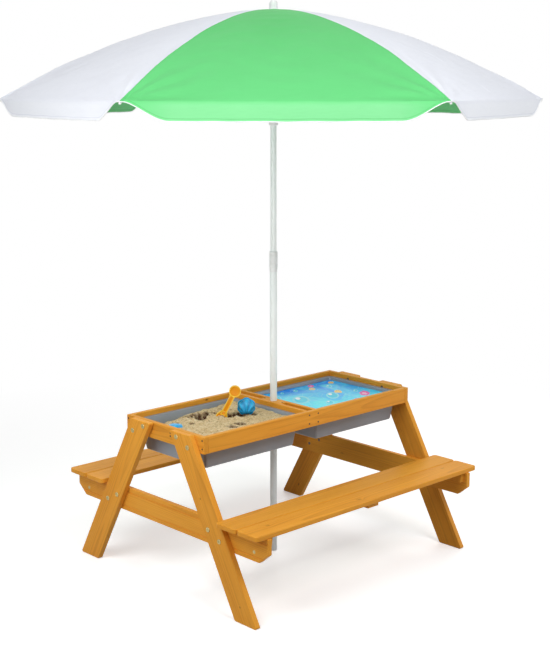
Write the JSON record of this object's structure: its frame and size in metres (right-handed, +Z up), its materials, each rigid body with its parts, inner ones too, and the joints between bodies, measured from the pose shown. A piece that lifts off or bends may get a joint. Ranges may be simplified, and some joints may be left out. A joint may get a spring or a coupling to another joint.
{
  "type": "picnic table with sandbox",
  "caption": "Child-size wooden picnic table with two seats, lift-out sand and water bins in its top, sand toys, and a folding parasol on a two-piece pole.",
  "frame": {"origin": "on the floor, under the pole's axis, at the middle of the table", "axes": "+Z up; +X along the table towards the water bin; -Y towards the front seat"},
  "size_m": [1.5262, 1.5874, 1.695],
  "materials": {
    "honey_wood": "oiled honey colour",
    "grey_plastic": "moulded, satin",
    "sand": "loose sand",
    "water": "clear, glossy",
    "yellow_plastic": "semi-gloss",
    "blue_plastic": "semi-gloss",
    "white_tube": "painted, satin",
    "white_plastic": "moulded, satin",
    "coated_steel": "coated wire",
    "canopy_fabric": "woven, green and white panels"
  },
  "bodies": {
    "table": {"rail_front": "honey_wood", "rail_back": "honey_wood", "end_board_left": "honey_wood", "end_board_right": "honey_wood", "cross_rail_left": "honey_wood", "cross_rail_right": "honey_wood", "pole_block_front": "honey_wood", "pole_block_back": "honey_wood", "leg_left_front": "honey_wood", "leg_left_back": "honey_wood", "leg_right_front": "honey_wood", "leg_right_back": "honey_wood", "seat_beam_left": "honey_wood", "seat_beam_right": "honey_wood", "seat_plank_front_inner": "honey_wood", "seat_plank_front_outer": "honey_wood", "seat_plank_back_inner": "honey_wood", "seat_plank_back_outer": "honey_wood", "seat_cleat_front": "honey_wood", "seat_cleat_back": "honey_wood", "ledger_sand_front": "honey_wood", "ledger_sand_back": "honey_wood", "ledger_water_front": "honey_wood", "ledger_water_back": "honey_wood"},
    "sand_bin": {"sand_bin": "grey_plastic", "sand": "sand"},
    "water_bin": {"water_bin": "grey_plastic", "water": "water"},
    "spade": {"spade": "yellow_plastic"},
    "shell_mould": {"shell_mould": "blue_plastic"},
    "star_mould": {"star_mould": "blue_plastic"},
    "pole_foot": {"pole_foot_plug": "white_plastic"},
    "lower_pole": {"lower_tube": "white_tube", "collar_ring": "white_plastic"},
    "pole_collar": {"pole_collar": "white_plastic"},
    "upper_pole": {"upper_tube": "white_tube", "hub": "white_plastic", "finial": "white_plastic"},
    "runner": {"runner": "white_plastic"},
    "rib_1": {"rib_1": "coated_steel", "canopy_gore_1": "canopy_fabric"},
    "rib_2": {"rib_2": "coated_steel", "canopy_gore_2": "canopy_fabric"},
    "rib_3": {"rib_3": "coated_steel", "canopy_gore_3": "canopy_fabric"},
    "rib_4": {"rib_4": "coated_steel", "canopy_gore_4": "canopy_fabric"},
    "rib_5": {"rib_5": "coated_steel", "canopy_gore_5": "canopy_fabric"},
    "rib_6": {"rib_6": "coated_steel", "canopy_gore_6": "canopy_fabric"},
    "stretcher_1": {"stretcher_1": "coated_steel"},
    "stretcher_2": {"stretcher_2": "coated_steel"},
    "stretcher_3": {"stretcher_3": "coated_steel"},
    "stretcher_4": {"stretcher_4": "coated_steel"},
    "stretcher_5": {"stretcher_5": "coated_steel"},
    "stretcher_6": {"stretcher_6": "coated_steel"}
  },
  "joints": [
    {"name": "sand_bin_lift", "type": "slide", "parent": "table", "child": "sand_bin", "axis": [0, 0, 1], "range_m": [0, 0.15]},
    {"name": "water_bin_lift", "type": "slide", "parent": "table", "child": "water_bin", "axis": [0, 0, 1], "range_m": [0, 0.15]},
    {"name": "spade_pull", "type": "slide", "parent": "sand_bin", "child": "spade", "axis": [0.332, -0.3096, 0.891], "range_m": [0, 0.08]},
    {"name": "shell_mould_lift", "type": "slide", "parent": "sand_bin", "child": "shell_mould", "axis": [0, 0, 1], "range_m": [0, 0.08]},
    {"name": "star_mould_lift", "type": "slide", "parent": "sand_bin", "child": "star_mould", "axis": [0, 0, 1], "range_m": [0, 0.08]},
    {"name": "pole_lift", "type": "slide", "parent": "table", "child": "pole_foot", "axis": [0, 0, 1], "range_m": [0, 0.5]},
    {"name": "pole_turn", "type": "hinge", "parent": "pole_foot", "child": "lower_pole", "pos_m": [0, 0, 0.004], "axis": [0, 0, 1], "continuous": true},
    {"name": "collar_twist", "type": "hinge", "parent": "lower_pole", "child": "pole_collar", "pos_m": [0, 0, 0.905], "axis": [0, 0, 1], "range_deg": [0, 90]},
    {"name": "upper_pole_pull", "type": "slide", "parent": "lower_pole", "child": "upper_pole", "axis": [0, 0, 1], "range_m": [0, 0.16]},
    {"name": "umbrella_fold", "type": "hinge", "parent": "upper_pole", "child": "rib_1", "pos_m": [0.01889, 0.00658, 1.65779], "axis": [-0.3289, 0.9444, 0], "range_deg": [0, 70], "deforming": ["canopy_gore_1"]},
    {"name": "rib_2_fold", "type": "hinge", "parent": "upper_pole", "child": "rib_2", "pos_m": [0.00375, 0.01965, 1.65779], "axis": [-0.9823, 0.1874, 0], "range_deg": [0, 70], "deforming": ["canopy_gore_2"]},
    {"name": "rib_3_fold", "type": "hinge", "parent": "upper_pole", "child": "rib_3", "pos_m": [-0.01514, 0.01307, 1.65779], "axis": [-0.6534, -0.757, 0], "range_deg": [0, 70], "deforming": ["canopy_gore_3"]},
    {"name": "rib_4_fold", "type": "hinge", "parent": "upper_pole", "child": "rib_4", "pos_m": [-0.01889, -0.00658, 1.65779], "axis": [0.3289, -0.9444, 0], "range_deg": [0, 70], "deforming": ["canopy_gore_4"]},
    {"name": "rib_5_fold", "type": "hinge", "parent": "upper_pole", "child": "rib_5", "pos_m": [-0.00375, -0.01965, 1.65779], "axis": [0.9823, -0.1874, 0], "range_deg": [0, 70], "deforming": ["canopy_gore_5"]},
    {"name": "rib_6_fold", "type": "hinge", "parent": "upper_pole", "child": "rib_6", "pos_m": [0.01514, -0.01307, 1.65779], "axis": [0.6534, 0.757, 0], "range_deg": [0, 70], "deforming": ["canopy_gore_6"]},
    {"name": "stretcher_1_turn", "type": "hinge", "parent": "rib_1", "child": "stretcher_1", "pos_m": [0.27074, 0.09428, 1.61228], "axis": [-0.3289, 0.9444, 0], "range_deg": [-113.7, 0]},
    {"name": "stretcher_2_turn", "type": "hinge", "parent": "rib_2", "child": "stretcher_2", "pos_m": [0.05372, 0.28161, 1.61228], "axis": [-0.9823, 0.1874, 0], "range_deg": [-113.7, 0]},
    {"name": "stretcher_3_turn", "type": "hinge", "parent": "rib_3", "child": "stretcher_3", "pos_m": [-0.21702, 0.18733, 1.61228], "axis": [-0.6534, -0.757, 0], "range_deg": [-113.7, 0]},
    {"name": "stretcher_4_turn", "type": "hinge", "parent": "rib_4", "child": "stretcher_4", "pos_m": [-0.27074, -0.09428, 1.61228], "axis": [0.3289, -0.9444, 0], "range_deg": [-113.7, 0]},
    {"name": "stretcher_5_turn", "type": "hinge", "parent": "rib_5", "child": "stretcher_5", "pos_m": [-0.05372, -0.28161, 1.61228], "axis": [0.9823, -0.1874, 0], "range_deg": [-113.7, 0]},
    {"name": "stretcher_6_turn", "type": "hinge", "parent": "rib_6", "child": "stretcher_6", "pos_m": [0.21702, -0.18733, 1.61228], "axis": [0.6534, 0.757, 0], "range_deg": [-113.7, 0]},
    {"name": "runner_slide", "type": "slide", "parent": "upper_pole", "child": "runner", "axis": [0, 0, -1], "range_m": [0, 0.3453]}
  ],
  "couplings": [
    {"joint": "rib_2_fold", "follows": "umbrella_fold", "ratio": 1},
    {"joint": "rib_3_fold", "follows": "umbrella_fold", "ratio": 1},
    {"joint": "rib_4_fold", "follows": "umbrella_fold", "ratio": 1},
    {"joint": "rib_5_fold", "follows": "umbrella_fold", "ratio": 1},
    {"joint": "rib_6_fold", "follows": "umbrella_fold", "ratio": 1},
    {"joint": "stretcher_1_turn", "follows": "umbrella_fold", "ratio": -1.6197},
    {"joint": "stretcher_2_turn", "follows": "umbrella_fold", "ratio": -1.6197},
    {"joint": "stretcher_3_turn", "follows": "umbrella_fold", "ratio": -1.6197},
    {"joint": "stretcher_4_turn", "follows": "umbrella_fold", "ratio": -1.6197},
    {"joint": "stretcher_5_turn", "follows": "umbrella_fold", "ratio": -1.6197},
    {"joint": "stretcher_6_turn", "follows": "umbrella_fold", "ratio": -1.6197},
    {"joint": "runner_slide", "follows": "umbrella_fold", "m_per_rad": 0.28223}
  ]
}
